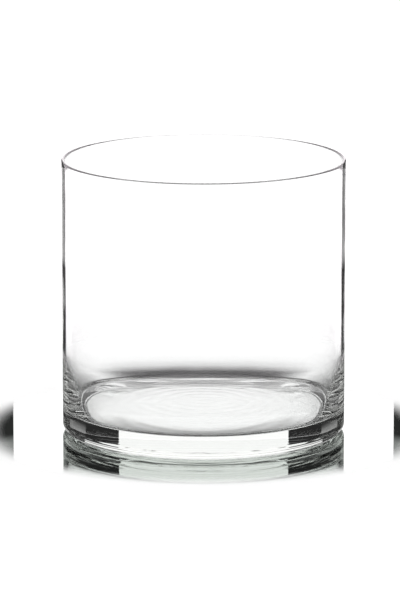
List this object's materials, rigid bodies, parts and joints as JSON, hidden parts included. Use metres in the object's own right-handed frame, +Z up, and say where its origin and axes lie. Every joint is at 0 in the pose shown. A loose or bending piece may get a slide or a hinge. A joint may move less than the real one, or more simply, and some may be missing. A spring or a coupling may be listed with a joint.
{
  "type": "cylinder vase",
  "caption": "Straight-sided clear glass cylinder vase with a thick solid base, a small rounded heel and a fire-polished rim.",
  "frame": {"origin": "centre of the ring that the vase stands on, on its lowest plane", "axes": "+Z up along the vase's own axis, out of the open mouth; the vase is round, so +X and +Y are any two square directions in the resting plane"},
  "size_m": [0.15, 0.15, 0.146],
  "materials": {
    "clear_glass": "polished"
  },
  "bodies": {
    "root": {"glass_vase": "clear_glass"}
  },
  "joints": []
}
